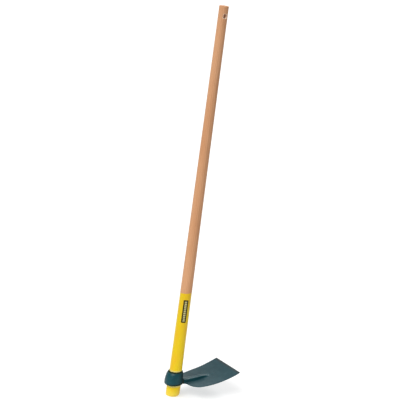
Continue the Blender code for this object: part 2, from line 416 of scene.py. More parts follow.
steelFinish = {
    "lacquer": (0.004, 0.059, 0.074, 1.0),
    "deep": (0.002, 0.046, 0.059, 1.0),
    "dusty": ((0.022, 0.075, 0.089, 1.0), 0.35),
    "settledDust": ((0.13, 0.095, 0.11, 1.0), 1.0),
    # Painted light: a highlight on the crest's shoulders, shade on the eye's side towards the neck, and
    # shade near the eye's rims
    "crestHighlight": ((0.034, 0.092, 0.112, 1.0), 0.9),
    "eyeShade": ((0.000, 0.018, 0.021, 1.0), 0.9),
    "rimShade": ((0.012, 0.020, 0.002, 1.0), 0.9),
    "scuffed": ((0.16, 0.17, 0.165, 1.0), 0.5),
    "groundEdge": ((0.035, 0.045, 0.048, 1.0), 0.7),
    "waveSpan": (0.35, 0.65),
    "fineNoise": {"scale": 190.0, "detail": 5.0, "roughness": 0.62},
    "fineSpan": (0.48, 0.72),
    "dustSpan": (0.25, 0.75, 0.07, 0.14),
    "scuffReach": 0.86,
    "gritSize": 0.0035,
    "roughSpan": (0.35, 0.7, 0.34, 0.44),
    "rubbedRough": -0.06,
    "rimShadeRough": 0.5,
    "bareMetal": 0.6,
    "peelSize": 0.0026,
    "waveSize": 0.020,
    "speckSize": 0.007,
    "skinDepth": 0.00030,
}


def makeLacqueredSteel():
    # Dust has settled on what faces up; painted shade darkens the eye's side towards the neck and bands
    # under its upper rim and near its foot, and the crest's shoulders carry a painted highlight
    material, tree, vector = newMaterial("lacqueredSteel", ior=1.5, specular=0.22)
    skin = useSkin(tree, vector, steelFinish)
    waves = ramp(tree, skin["Waves"], *steelFinish["waveSpan"])
    colour = mixColour(tree, waves, steelFinish["deep"], steelFinish["lacquer"])
    fine = noiseField(tree, vector, **steelFinish["fineNoise"])
    settled = times(tree, painted(tree, "facesUp"), ramp(tree, skin["Waves"], *steelFinish["dustSpan"]))
    paleAndLit, eyeShade, rimShaded = [painted(tree, name) for name in ("paleAndLit", "eyeShade", "rimShaded")]
    scuff = useGroup(tree, wearGroup, {
        "Vector": vector, "Mask": painted(tree, "edgeMask"), "Reach": steelFinish["scuffReach"],
        "Grit Size": steelFinish["gritSize"]})["Scuff"]
    # Of these tints the crest's is a painted highlight and the eye's two darkenings are painted shade;
    # dust, scuffs and the ground edge belong to the steel
    for mask, name in ((ramp(tree, fine, *steelFinish["fineSpan"]), "dusty"), (settled, "settledDust"),
                       (paleAndLit, "crestHighlight"), (eyeShade, "eyeShade"), (rimShaded, "rimShade"),
                       (scuff, "scuffed"), (painted(tree, "groundMask"), "groundEdge")):
        colour = tinted(tree, colour, mask, steelFinish[name])
    matt = compute(tree, "MAXIMUM", rimShaded, eyeShade)
    rough = weighted(tree, ramp(tree, fine, *steelFinish["roughSpan"]), (scuff, steelFinish["rubbedRough"]),
                     (paleAndLit, steelFinish["rubbedRough"]), (matt, steelFinish["rimShadeRough"]))
    return finishMaterial(material, skin["Height"], steelFinish["skinDepth"], {
        "Base Color": colour, "Roughness": rough, "Metallic": times(tree, scuff, steelFinish["bareMetal"])})


filmFinish = {
    "dark": (0.020, 0.014, 0.002, 1.0),
    "worn": (0.045, 0.034, 0.004, 1.0),
    "wearSpan": (0.35, 0.7),
    "roughSpan": (0.3, 0.7, 0.34, 0.5),
    "peelSize": 0.0012,
    "waveSize": 0.012,
    "speckSize": 0.004,
    "skinDepth": 0.00006,
}
inkFinish = {
    "fresh": (0.66, 0.62, 0.28, 1.0),
    "worn": (0.46, 0.42, 0.14, 1.0),
    "wearScale": 900.0,
    "wearSpan": (0.4, 0.7),
    "roughSpan": (0.3, 0.7, 0.45, 0.6),
    "skinDepth": 0.00003,
}


def makeLabelFilm():
    material, tree, vector = newMaterial("blackLabelFilm", ior=1.5, specular=0.2)
    skin = useSkin(tree, vector, filmFinish)
    worn = ramp(tree, skin["Waves"], *filmFinish["wearSpan"])
    return finishMaterial(material, skin["Height"], filmFinish["skinDepth"], {
        "Base Color": mixColour(tree, worn, filmFinish["dark"], filmFinish["worn"]),
        "Roughness": ramp(tree, skin["Waves"], *filmFinish["roughSpan"])})


def makePrintInk():
    material, tree, vector = newMaterial("paleInk", ior=1.5, specular=0.3)
    wear = noiseField(tree, vector, inkFinish["wearScale"])
    worn = ramp(tree, wear, *inkFinish["wearSpan"])
    return finishMaterial(material, wear, inkFinish["skinDepth"], {
        "Base Color": mixColour(tree, worn, inkFinish["fresh"], inkFinish["worn"]),
        "Roughness": ramp(tree, wear, *inkFinish["roughSpan"])})


sandedBeech = makeWood()
yellowDip = makeCoat()
lacqueredSteel = makeLacqueredSteel()
blackFilm = makeLabelFilm()
paleInk = makePrintInk()
print("materials made")


# Small tools for pieces


def newPiece(name, mesh):
    piece = bpy.data.objects.new(name, mesh)
    bpy.context.scene.collection.objects.link(piece)
    return piece


def pieceFrom(form, name):
    mesh = bpy.data.meshes.new(name)
    form.to_mesh(mesh)
    form.free()
    return newPiece(name, mesh)


def evaluatedMesh(piece):
    depsgraph = bpy.context.evaluated_depsgraph_get()
    return bpy.data.meshes.new_from_object(piece.evaluated_get(depsgraph))


def grownMesh(name, tree, settings):
    # Runs a Geometry Nodes tree with these inputs and returns its result as a plain object
    grower = newPiece(name + "Grower", bpy.data.meshes.new(name))
    modifier = grower.modifiers.new("grow", "NODES")
    modifier.node_group = tree
    identifiers = {item.name: item.identifier for item in tree.interface.items_tree
                   if item.item_type == "SOCKET" and item.in_out == "INPUT"}
    for title, value in settings.items():
        modifier[identifiers[title]] = value
    mesh = evaluatedMesh(grower)
    mesh.name = name
    grower.modifiers.remove(modifier)
    bpy.data.objects.remove(grower)
    return newPiece(name, mesh)


def settle(piece):
    # Bakes the piece's modifiers into its mesh
    mesh = evaluatedMesh(piece)
    piece.modifiers.clear()
    old = piece.data
    piece.data = mesh
    mesh.name = old.name + "Settled"
    bpy.data.meshes.remove(old)


def thicken(piece, thickness):
    film = piece.modifiers.new("film", "SOLIDIFY")
    film.thickness = thickness
    film.offset = -1.0
    settle(piece)


def coverWith(piece, material):
    piece.data.materials.clear()
    piece.data.materials.append(material)


def smoothShade(piece, degrees):
    piece.data.shade_smooth()
    piece.data.set_sharp_from_angle(angle=math.radians(degrees))


def storeMarks(mesh, marks):
    for name, values in marks.items():
        mesh.attributes.new(name, "FLOAT", "POINT").data.foreach_set("value", values)


# Geometry Nodes: the turned shaft, used for the wood and for the coat over its lower part

shaft = {
    "slowScale": (38.0, 38.0, 7.0),
    "waverRun": 0.03,
    "waverScale": 70.0,
    "lidFacing": 0.98,
    "lineStep": (0.0, 0.0, 0.001),
}


def dressTree(tree, geometry, material, result):
    real = outOf(tree, "GeometryNodeRealizeInstances", {"Geometry": geometry})
    dressed = outOf(tree, "GeometryNodeSetMaterial", {"Geometry": real, "Material": material})
    feed(tree, result, {"Geometry": dressed})


def makeShaftTree():
    tree, value, result = newTree("turnedShaft", "GeometryNodeTree", {
        "Geometry": "Geometry", "Length": handle["length"], "Fullness": handle["fullness"],
        "Grip Radius": handle["gripRadius"], "Shank Radius": handle["shankRadius"],
        "Swell Radius": handle["swellRadius"], "Swell Top": handle["swellTop"],
        "Swell Bottom": handle["swellBottom"], "Foot Flat": handle["footFlat"],
        "Foot Round": handle["footRound"], "Cut Height": handle["length"], "End Round": handle["endRound"],
        "Uneven": 0.0, "Line Waver": 0.0, "Line Tilt": (0.0, 0.0, 0.0), "Open Top": False,
        "Foot Rings": 14, "Body Rings": 200, "End Rings": 6, "Round Steps": 96, "Seed": 7.0,
        "Material": "Material",
    }, {"Geometry": "Geometry"})

    def quarter(operation, share):
        return compute(tree, operation, times(tree, share, 0.5 * math.pi))

    def rounded(run, depth):
        # How far a rounded edge lies inside at this share of its run
        inner = compute(tree, "SQRT", minus(tree, 1.0, compute(tree, "POWER", run, 2.0)))
        return times(tree, depth, minus(tree, 1.0, inner))

    def seededNoise(vector, scale, detail):
        return outOf(tree, "ShaderNodeTexNoise", {
            "Vector": vector, "W": value["Seed"], "Scale": scale, "Detail": detail}, noise_dimensions="4D")

    # Ring heights: crowded on the rounded foot and on the arris of the upper end
    footRings, bodyRings, endRings = value["Foot Rings"], value["Body Rings"], value["End Rings"]
    line = outOf(tree, "GeometryNodeMeshLine", {
        "Count": plus(tree, footRings, bodyRings, endRings, 1.0), "Offset": shaft["lineStep"]})
    index = outOf(tree, "GeometryNodeInputIndex")
    pastFoot = minus(tree, index, footRings)
    footShare = straight(tree, index, 0.0, footRings)
    bodyShare = straight(tree, pastFoot, 0.0, bodyRings)
    endShare = straight(tree, minus(tree, pastFoot, bodyRings), 0.0, endRings)
    endStart = minus(tree, value["Cut Height"], value["End Round"])
    footZ = times(tree, value["Foot Round"], minus(tree, 1.0, quarter("COSINE", footShare)))
    bodyZ = times(tree, minus(tree, endStart, value["Foot Round"]), bodyShare)
    endZ = times(tree, value["End Round"], quarter("SINE", endShare))
    placed = outOf(tree, "GeometryNodeSetPosition", {
        "Geometry": line, "Position": joined(tree, Z=plus(tree, footZ, bodyZ, endZ))})
    # Ring radii: taper, swell, rounded foot, rounded upper arris
    spot = outOf(tree, "GeometryNodeInputPosition")
    z = partOf(tree, spot, "Z")
    taperRun = minus(tree, value["Length"], value["Swell Top"])
    fromEnd = compute(tree, "DIVIDE", minus(tree, value["Length"], z), taperRun)
    share = compute(tree, "MAXIMUM", compute(tree, "MINIMUM", fromEnd, 1.0), 0.0)
    full = compute(tree, "POWER", share, value["Fullness"])
    taper = straight(tree, full, 0.0, 1.0, value["Grip Radius"], value["Shank Radius"])
    swell = ramp(tree, z, value["Swell Top"], value["Swell Bottom"], 0.0,
                 minus(tree, value["Swell Radius"], value["Shank Radius"]))
    footInset = rounded(straight(tree, z, value["Foot Round"], 0.0),
                        minus(tree, value["Swell Radius"], value["Foot Flat"]))
    endInset = rounded(straight(tree, z, endStart, value["Cut Height"]), value["End Round"])
    tube = outOf(tree, "GeometryNodeCurveToMesh", {
        "Curve": outOf(tree, "GeometryNodeMeshToCurve", {"Mesh": placed}),
        "Profile Curve": outOf(tree, "GeometryNodeCurvePrimitiveCircle", {
            "Resolution": value["Round Steps"], "Radius": 1.0}),
        "Scale": minus(tree, plus(tree, taper, swell), footInset, endInset), "Fill Caps": True})
    # A hand-sanded shaft is never quite round: it only ever loses wood
    slow = seededNoise(vectorMath(tree, "MULTIPLY", spot, shaft["slowScale"]), scale=1.0, detail=1.0)
    inward = times(tree, slow, value["Uneven"], -1.0)
    around = vectorMath(tree, "MULTIPLY", spot, (1.0, 1.0, 0.0))
    sunk = outOf(tree, "ShaderNodeVectorMath", {
        0: vectorMath(tree, "NORMALIZE", around), "Scale": inward}, operation="SCALE")
    # The line where the dip ended wavers a little round the shaft
    nearLine = ramp(tree, z, minus(tree, value["Cut Height"], shaft["waverRun"]), value["Cut Height"])
    turning = seededNoise(around, scale=shaft["waverScale"], detail=2.0)
    waver = times(tree, minus(tree, turning, 0.5), value["Line Waver"])
    tilt = vectorMath(tree, "DOT_PRODUCT", around, value["Line Tilt"], output="Value")
    lift = times(tree, plus(tree, waver, tilt), nearLine)
    worked = outOf(tree, "GeometryNodeSetPosition", {
        "Geometry": tube, "Offset": vectorMath(tree, "ADD", sunk, joined(tree, Z=lift))})
    # The coat has no lid at its upper line
    facing = partOf(tree, outOf(tree, "GeometryNodeInputNormal"), "Z")
    facesUp = outOf(tree, "FunctionNodeCompare", {
        "A": facing, "B": shaft["lidFacing"]}, operation="GREATER_THAN")
    lid = outOf(tree, "FunctionNodeBooleanMath", {0: facesUp, 1: value["Open Top"]}, operation="AND")
    opened = outOf(tree, "GeometryNodeDeleteGeometry", {
        "Geometry": worked, "Selection": lid}, domain="FACE")
    dressTree(tree, opened, value["Material"], result)
    return tree


shaftTree = makeShaftTree()

hole = {
    "radius": 0.0074,
    "mouthRound": 0.0013,
    "mouthFlare": 2.2,
    "mouthDepth": 1.6,
    "mouthSteps": 6,
    "mouthLip": 0.0012,
    "drop": 0.0314,
    "turn": math.radians(5),
    "steps": 64,
    "halfLength": 0.03,
    "wallRings": 8,
    "ringGap": 0.0015,
    "wallSlack": 0.0005,
    # How deep the hole's painted light reaches, and the run over which painted shade takes over
    "litDepth": 0.0105,
    "shadeRun": 0.0020,
    "mergeGap": 0.000001,
}
holeHeight = handle["length"] - hole["drop"]


def makeHoleDrill():
    # The drill's bore with a rounded mouth on each side of the wood, and rings along the wall that carry
    # its painted light and shade
    surface = handleRadius(holeHeight)
    flared = hole["radius"] + hole["mouthRound"] * hole["mouthFlare"]
    half = [(0.0, hole["halfLength"]), (flared, hole["halfLength"]), (flared, surface + hole["mouthLip"])]
    for step in range(hole["mouthSteps"] + 1):
        angle = 0.5 * math.pi * step / hole["mouthSteps"]
        half.append((hole["radius"] + hole["mouthRound"] * (1.0 - math.sin(angle)),
                     surface - hole["mouthRound"] * (1.0 - math.cos(angle)) * hole["mouthDepth"]))
    profile = [(radius, -along) for radius, along in half]
    rings = range(-hole["wallRings"], hole["wallRings"] + 1)
    profile += [(hole["radius"], hole["ringGap"] * ring) for ring in rings]
    profile += reversed(half)
    form = bmesh.new()
    points = [form.verts.new((radius, 0.0, along)) for radius, along in profile]
    for first, second in zip(points, points[1:]):
        form.edges.new((first, second))
    bmesh.ops.spin(form, geom=list(form.verts) + list(form.edges), cent=(0, 0, 0), axis=(0, 0, 1),
                   angle=2.0 * math.pi, steps=hole["steps"], use_merge=True)
    bmesh.ops.remove_doubles(form, verts=list(form.verts), dist=hole["mergeGap"])
    bmesh.ops.recalc_face_normals(form, faces=list(form.faces))
    drill = pieceFrom(form, "drill")
    turned = Matrix.Rotation(-hole["turn"], 4, "Z") @ Matrix.Rotation(0.5 * math.pi, 4, "X")
    drill.data.transform(Matrix.Translation((0.0, 0.0, holeHeight)) @ turned)
    return drill


def markHole(mesh):
    # How much painted light and painted shade the drilled wall gets, by its depth under the wood's surface
    marks = {"deepShade": [], "fresh": []}
    axis = Matrix.Rotation(-hole["turn"], 3, "Z") @ Vector((0.0, 1.0, 0.0))
    for corner in mesh.vertices:
        offset = corner.co - Vector((0.0, 0.0, holeHeight))
        along = offset.dot(axis)
        shadedShare = rise(handleRadius(holeHeight) - abs(along), hole["litDepth"], hole["shadeRun"])
        inside = (offset - axis * along).length < hole["radius"] + hole["wallSlack"]
        marks["deepShade"].append(shadedShare if inside else 0.0)
        marks["fresh"].append(1.0 - shadedShare if inside else 0.0)
    storeMarks(mesh, marks)


def roundFoot(mesh):
    # The foot was rounded by hand: nearly square on one side, softer on the other
    middle, reach, swell = handle["footRound"], handle["softReach"], handle["swellRadius"]
    for corner in mesh.vertices:
        radius = math.hypot(corner.co.x, corner.co.y)
        if radius < handle["axisReach"] or corner.co.z >= reach:
            continue
        side = (corner.co.x * handle["softSide"][0] + corner.co.y * handle["softSide"][1]) / radius
        way = "soft" if side > 0.0 else "square"
        flat = blend(handle["footFlat"], handle[way + "Flat"], abs(side))
        height = blend(middle, handle[way + "Round"], abs(side))
        if corner.co.z < middle:
            curve = math.sqrt(max(0.0, 1.0 - (1.0 - corner.co.z / middle) ** 2))
            wider = blend(flat, swell, curve) / blend(handle["footFlat"], swell, curve)
            corner.co.x *= wider
            corner.co.y *= wider
            corner.co.z *= height / middle
        else:
            corner.co.z = blend(height, reach, (corner.co.z - middle) / (reach - middle))


wood = {"uneven": 0.00012, "bodyRings": 240, "sharpAngle": 35.0}


def makeTurnedWood():
    piece = grownMesh("turnedHandle", shaftTree, {
        "Uneven": wood["uneven"], "Body Rings": wood["bodyRings"], "Material": sandedBeech})
    roundFoot(piece.data)
    # Under the coat the wood is a hair smaller, so that the coat's outside is the handle's own size
    inset = handle["coatThickness"] * handle["coatClear"]
    for corner in piece.data.vertices:
        if corner.co.z < handle["coatTop"] + handle["coatLap"]:
            outward = Vector((corner.co.x, corner.co.y, 0.0))
            if outward.length > inset:
                corner.co -= outward.normalized() * inset
            corner.co.z = max(corner.co.z, inset)
    drill = makeHoleDrill()
    cut = piece.modifiers.new("hangingHole", "BOOLEAN")
    cut.operation = "DIFFERENCE"
    cut.solver = "EXACT"
    cut.object = drill
    settle(piece)
    bpy.data.objects.remove(drill)
    markHole(piece.data)
    smoothShade(piece, wood["sharpAngle"])
    coverWith(piece, sandedBeech)
    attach(piece, "handle")
    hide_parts("wooden_handle")
    print("handle turned:", len(piece.data.polygons), "faces")


coat = {
    "lineRound": 0.00012,
    "lineWaver": 0.0022,
    "lineTilt": (0.084, -0.055, 0.0),
    "lineRings": 3,
    "bodyRings": 160,
    "uneven": 0.00008,
    "sharpAngle": 50.0,
}


def makeYellowCoat():
    piece = grownMesh("yellowCoat", shaftTree, {
        "Cut Height": handle["coatTop"], "End Round": coat["lineRound"], "Body Rings": coat["bodyRings"],
        "End Rings": coat["lineRings"], "Open Top": True, "Line Waver": coat["lineWaver"],
        "Line Tilt": coat["lineTilt"], "Uneven": coat["uneven"], "Material": yellowDip})
    roundFoot(piece.data)
    coverWith(piece, yellowDip)
    thicken(piece, handle["coatThickness"])
    smoothShade(piece, coat["sharpAngle"])
    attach(piece, "handle")
    print("coat dipped:", len(piece.data.polygons), "faces")


makeTurnedWood()
makeYellowCoat()


# The plain black label and its pale bars; the maker's words in the photo are left off

label = {
    "centre": 0.2993,
    "length": 0.0775,
    "width": 0.0165,
    "corner": 0.0014,
    "thickness": 0.00010,
    "filmShare": 0.8,
    "rows": 60,
    "columns": 16,
    "facing": math.atan2(-0.925, -0.380),
    "sharpAngle": 50.0,
}
bars = {
    "count": 11,
    "length": 0.0042,
    "width": 0.0072,
    "pitch": 0.0064,
    "thickness": 0.00005,
    "sunkShare": 0.6,
    "columns": 12,
    "rows": 6,
    "slopeReach": 0.02,
    "sharpAngle": 40.0,
}


def makeLabel():
    rows, columns = label["rows"], label["columns"]
    form = bmesh.new()
    grid = []
    for row in range(rows + 1):
        along = label["length"] * (row / rows - 0.5)
        # Rounded corners: the rows near each end are a little narrower
        fromEnd = 0.5 * label["length"] - abs(along)
        cornerRun = max(0.0, label["corner"] - fromEnd) / label["corner"]
        half = 0.5 * label["width"] - label["corner"] * (1.0 - math.sqrt(1.0 - cornerRun ** 2))
        height = label["centre"] + along
        radius = handleRadius(height) + label["thickness"]
        grid.append([])
        for column in range(columns + 1):
            turn = label["facing"] + half * (2.0 * column / columns - 1.0) / radius
            grid[-1].append(form.verts.new((radius * math.cos(turn), radius * math.sin(turn), height)))
    for low, high in zip(grid, grid[1:]):
        for column in range(columns):
            form.faces.new((low[column], low[column + 1], high[column + 1], high[column]))
    film = pieceFrom(form, "blackLabel")
    coverWith(film, blackFilm)
    thicken(film, label["thickness"] * label["filmShare"])
    smoothShade(film, label["sharpAngle"])
    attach(film, "handle")


def makeBarTree():
    # A row of plain bars, laid out flat and then wrapped round the shaft
    tree, value, result = newTree("printedBars", "GeometryNodeTree", {
        "Geometry": "Geometry", "Count": bars["count"], "Pitch": bars["pitch"],
        "Bar Length": bars["length"], "Bar Width": bars["width"], "Bar Thickness": bars["thickness"],
        "Centre Height": label["centre"], "Facing": label["facing"],
        "Radius": handleRadius(label["centre"]), "Radius Slope": 0.0, "Material": "Material",
    }, {"Geometry": "Geometry"})
    firstZ = times(tree, minus(tree, value["Count"], 1.0), value["Pitch"], -0.5)
    line = outOf(tree, "GeometryNodeMeshLine", {
        "Count": value["Count"], "Start Location": joined(tree, Z=firstZ),
        "Offset": joined(tree, Z=value["Pitch"])})
    bar = outOf(tree, "GeometryNodeMeshCube", {
        "Size": joined(tree, X=value["Bar Thickness"], Y=value["Bar Width"], Z=value["Bar Length"]),
        "Vertices X": 2, "Vertices Y": bars["columns"], "Vertices Z": bars["rows"]})
    copies = outOf(tree, "GeometryNodeInstanceOnPoints", {"Points": line, "Instance": bar})
    real = outOf(tree, "GeometryNodeRealizeInstances", {"Geometry": copies})
    position = outOf(tree, "GeometryNodeInputPosition")
    spot = addNode(tree, "ShaderNodeSeparateXYZ", {"Vector": position}).outputs
    base = plus(tree, value["Radius"], times(tree, spot["Z"], value["Radius Slope"]))
    reach = plus(tree, base, spot["X"])
    turn = plus(tree, value["Facing"], compute(tree, "DIVIDE", spot["Y"], base))
    wrapped = joined(tree, X=times(tree, reach, compute(tree, "COSINE", turn)),
                     Y=times(tree, reach, compute(tree, "SINE", turn)),
                     Z=plus(tree, spot["Z"], value["Centre Height"]))
    laid = outOf(tree, "GeometryNodeSetPosition", {"Geometry": real, "Position": wrapped})
    dressTree(tree, laid, value["Material"], result)
    return tree


def makePrintedBars():
    centre, reach = label["centre"], bars["slopeReach"]
    piece = grownMesh("printedBars", makeBarTree(), {
        "Radius": handleRadius(centre) + label["thickness"] + bars["sunkShare"] * bars["thickness"],
        "Radius Slope": (handleRadius(centre + reach) - handleRadius(centre - reach)) / (2.0 * reach),
        "Material": paleInk})
    coverWith(piece, paleInk)
    smoothShade(piece, bars["sharpAngle"])
    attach(piece, "handle")


makeLabel()
makePrintedBars()
print("label laid")


# The forged head: one cage of quads, the eye's ring with the neck, rib and blade drawn out of it

eye = {
    "bottom": 0.043,
    "height": 0.0456,
    "gap": 0.0003,
    "rimWall": 0.0009,
    "chamferHeight": 0.0100,
    "chamferWidth": 0.0056,
    "chamferSwell": 0.0006,
    "chamferRings": (0.33, 0.67),
    "wallRings": (0.0755, 0.0720, 0.0685, 0.0650, 0.0610, 0.0570, 0.0530, 0.0490),
    "wallSwell": 0.0004,
    "bellyWall": 0.0080,
    "bellyHeight": 0.0028,
    "footWall": 0.0068,
    "boreRings": (0.15, 0.4, 0.65, 0.88),
    "boreRounds": 3,
    "backOffset": 0.0030,
    "backSweep": math.radians(144),
    "steps": 48,
    "neckSteps": 5,
    "patchTop": 7,  # the ring at 65 mm, just above the rib's crest
    "patchBottom": 13,  # the foot ring
    "crestDraw": 0.72,
    "footDraw": 1.24,
    "underDraw": 1.12,
    "drawFrom": 2,
    "drawReach": math.radians(37.5),
    "drawFade": math.radians(50.0),
    # Each kind of ring's (crease, edge mask)
    "rimEdge": (0.55, 0.9),
    "chamferEdge": (0.0, 0.2),
    "shoulderEdge": (0.15, 0.6),
    "plainEdge": (0.0, 0.0),
    "footEdge": (0.25, 0.7),
    "footFace": (0.0, 0.1),
    "footBore": (0.8, 0.5),
    "rimBore": (0.8, 0.9),
}
blade = {
    "edgeReach": 0.2125,
    "edgeWidth": 0.1446,
    "edgeRise": 0.0425,
    "bendStart": 0.027,
    "plateHeight": 0.0447,
    "shoulderReach": 0.0396,
    "shoulderLength": 0.0305,
    "shoulderHalf": 0.0615,
    "shoulderSweep": math.radians(77.5),
    "sideBow": 0.0027,
    "sideSwell": 0.0016,
    "sideLift": 0.0006,
    "swellReach": 0.104,
    "swellLength": 0.046,
    "rootThickness": 0.0032,
    "tipThickness": 0.0024,
    "grindLength": 0.010,
    "grindRow": 0.004,
    "grindThickness": 0.0008,
    "groundReach": 0.007,
    "cornerBreak": 0.0009,
    "rootReach": 0.0218,
    "rootLift": 0.0040,
    "rootDepth": 0.0016,
    "rootRows": ((0.0240, 1.0), (0.0270, 0.85), (0.0300, 0.6)),
    "neckHalf": 0.0149,
    "neckSpread": 0.0059,
    "neckFillet": 0.008,
    "filletRows": ((1, 0.30), (2, 0.15), (3, 0.0)),
    "filletSteps": 4,
    "ribHeight": 0.0112,
    "ribReach": 0.135,
    "ribRootHalf": 0.0135,
    "ribTipHalf": 0.0082,
    "crestShare": 0.74,
    "crestRootShare": 0.34,
    "crestRootLength": 0.016,
    "crestCamber": 0.0022,
    "crestFullness": 5.0,
    "ribFillet": 0.0135,
    "flankRise": 0.004,
    "wallSink": 0.003,
    "wallShare": 0.9,
    "sideRows": 22,
    "shoulderRows": 12,
    # The top skin's columns: in shares of the rib's half width, then from its foot to the plate's side
    "columnShares": (0.0, 0.3, 0.58, 0.74, 0.82, 0.90, 0.97, 1.03),
    "outerShares": (0.35, 0.7, 1.0),
    "outlineMask": 0.8,
    "outlineCrease": 0.75,
    "creaseFrom": 3,
    "edgeCrease": 0.9,
}


def boreRadius(height):
    return handleRadius(height) + eye["gap"]


eyeTop = eye["bottom"] + eye["height"]
rimRadius = boreRadius(eyeTop) + eye["rimWall"]
bellyHeight = eye["bottom"] + eye["bellyHeight"]
bellyRadius = boreRadius(bellyHeight) + eye["bellyWall"]
footRadius = boreRadius(eye["bottom"]) + eye["footWall"]


def wallRadius(height):
    shoulderHeight = eyeTop - eye["chamferHeight"]
    share = (shoulderHeight - height) / (shoulderHeight - bellyHeight)
    swell = eye["wallSwell"] * math.sin(math.pi * held(share))
    return blend(rimRadius + eye["chamferWidth"], bellyRadius, share) + swell


def slideBack(height):
    # The wall is thicker at the back: below the rim the outside slides back from the bore's axis
    return eye["backOffset"] * math.sin(eye["backSweep"] * (eyeTop - height) / eye["height"])


def eyeSection():
    # (radius, height, kind of edge) from the bore's upper rim over the outside and back up the bore
    bottom = eye["bottom"]
    section = [(rimRadius, eyeTop, "rimEdge")]
    for share in eye["chamferRings"]:
        radius = rimRadius + eye["chamferWidth"] * share + eye["chamferSwell"] * math.sin(math.pi * share)
        section.append((radius, eyeTop - eye["chamferHeight"] * share, "chamferEdge"))
    section.append((rimRadius + eye["chamferWidth"], eyeTop - eye["chamferHeight"], "shoulderEdge"))
    section += [(wallRadius(height), height, "plainEdge") for height in eye["wallRings"] + (bellyHeight,)]
    section.append((footRadius, bottom, "footEdge"))
    section.append((blend(footRadius, boreRadius(bottom), 0.5), bottom, "footFace"))
    section.append((None, bottom, "footBore"))
    section += [(None, blend(bottom, eyeTop, share), "plainEdge") for share in eye["boreRings"]]
    section.append((None, eyeTop, "rimBore"))
    return section


def ringTurn(step, level):
    # The rings draw together at the rib's crest and apart at the neck's foot, to meet the neck's section
    steps, top, bottom = eye["steps"], eye["patchTop"], eye["patchBottom"]
    turn = 2.0 * math.pi * ((step + steps // 2) % steps - steps // 2) / steps
    draw = blend(eye["crestDraw"], eye["footDraw"], (level - top) / (bottom - top))
    if level < top:
        draw = blend(1.0, eye["crestDraw"], max(0.0, level - eye["drawFrom"]) / (top - eye["drawFrom"]))
    if level > bottom:
        draw = eye["underDraw"] if level == bottom + 1 else 1.0
    fade = 1.0 - rise(abs(turn), eye["drawReach"], eye["drawFade"])
    return turn * (1.0 + (draw - 1.0) * fade)


def ringPlace(step, level, radius, height):
    turn = ringTurn(step, level)
    away, slide = radius, slideBack(height)
    if radius is None:
        # The bore follows the wood, so its radius is taken at the height where the point really lies
        away, slide = boreRadius(height), 0.0
        for _ in range(eye["boreRounds"]):
            away = boreRadius(height + away * math.cos(turn) * eyeLean)
    ahead = away * math.cos(turn) - slide
    return ahead, away * math.sin(turn), height + ahead * eyeLean


def neckFade(reach):
    # One at the neck's root, nothing from its end on
    neckRun = blade["shoulderReach"] - blade["neckFillet"] - blade["rootReach"]
    return 1.0 - rise(reach, blade["rootReach"], neckRun)


def plateHeight(reach):
    run = max(0.0, reach - blade["bendStart"]) / (blade["edgeReach"] - blade["bendStart"])
    return blade["plateHeight"] + blade["edgeRise"] * run ** 2 + blade["rootLift"] * neckFade(reach)


def plateThickness(reach):
    tip, ground = blade["tipThickness"], blade["edgeReach"] - blade["grindLength"]
    if reach > ground:
        return blend(tip, blade["grindThickness"], (reach - ground) / blade["grindLength"])
    inward = min(1.0, (ground - reach) / (ground - blade["shoulderReach"]))
    return blend(tip, blade["rootThickness"], inward) + blade["rootDepth"] * neckFade(reach)


def ribRun(reach):
    return held((reach - blade["shoulderReach"]) / (blade["ribReach"] - blade["shoulderReach"]))


def ribHalf(reach):
    return blend(blade["ribRootHalf"], blade["ribTipHalf"], ribRun(reach))


def crestShareAt(reach):
    # The crest is narrower where it meets the eye
    widened = rise(reach, blade["rootReach"], blade["crestRootLength"])
    return blend(blade["crestRootShare"], blade["crestShare"], widened)


def sideSwell(reach):
    # The plate's sides are a little fuller and higher past the shoulders
    return smoothRamp(1.0 - abs(reach - blade["swellReach"]) / blade["swellLength"])


def ribRise(reach, across):
    crest = blade["ribHeight"] * (1.0 - ribRun(reach) ** blade["crestFullness"])
    # The crest sweeps up into the round wall of the eye
    fillet = blade["ribFillet"]
    gap = math.hypot(reach + eye["backOffset"], across) - (bellyRadius - blade["wallSink"])
    if gap < fillet:
        crest += fillet - math.sqrt(fillet ** 2 - min(fillet - gap, fillet) ** 2)
    # The crest is slightly domed between its two shoulders
    crestShare = crestShareAt(reach)
    domed = min(1.0, abs(across) / (ribHalf(reach) * crestShare))
    crest -= min(blade["crestCamber"], 0.5 * crest) * domed ** 3
    flank = (abs(across) / ribHalf(reach) - crestShare) / (1.0 - crestShare)
    return blend(crest, blade["flankRise"] * neckFade(reach), smoothRamp(flank))


